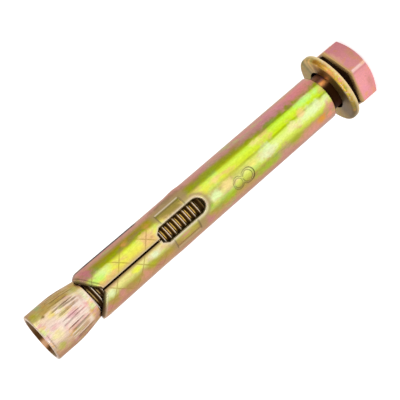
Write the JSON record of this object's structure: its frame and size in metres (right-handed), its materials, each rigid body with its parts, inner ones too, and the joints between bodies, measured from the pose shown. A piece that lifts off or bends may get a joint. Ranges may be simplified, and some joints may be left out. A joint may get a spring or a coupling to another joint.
{
  "type": "sleeve anchor bolt",
  "caption": "Hex-head bolt through a washer and a slotted sheet-metal sleeve into a fluted cone nut that spreads the sleeve in a drilled hole.",
  "frame": {"origin": "middle of the hex head's flat top face, on which the anchor stands", "axes": "+Z along the bolt from the head to the cone nut; -Y faces the sleeve's window"},
  "size_m": [0.0157, 0.0158, 0.0833],
  "materials": {
    "bolt_zinc": "zinc plated and yellow passivated, pink sheen",
    "washer_zinc": "zinc plated and yellow passivated, golden sheen",
    "sleeve_zinc": "zinc plated and yellow passivated, green and pink sheen",
    "nut_zinc": "zinc plated and yellow passivated, pale golden sheen"
  },
  "bodies": {
    "bolt": {"hex_bolt": "bolt_zinc"},
    "loose_washer": {"washer": "washer_zinc"},
    "slit_sleeve": {"sleeve": "sleeve_zinc"},
    "nut": {"cone_nut": "nut_zinc"}
  },
  "joints": [
    {"name": "washer_slide", "type": "slide", "parent": "bolt", "child": "loose_washer", "axis": [0, 0, 1], "range_m": [0, 0.0013]},
    {"name": "sleeve_turn", "type": "hinge", "parent": "bolt", "child": "slit_sleeve", "pos_m": [0, 0, 0.04], "axis": [0, 0, 1], "range_deg": [-25, 1425]},
    {"name": "nut_draw", "type": "slide", "parent": "slit_sleeve", "child": "nut", "axis": [0, 0, 1], "range_m": [-0.0001, 0.005]}
  ],
  "couplings": [
    {"joint": "nut_draw", "follows": "sleeve_turn", "m_per_rad": 0.00019894}
  ]
}
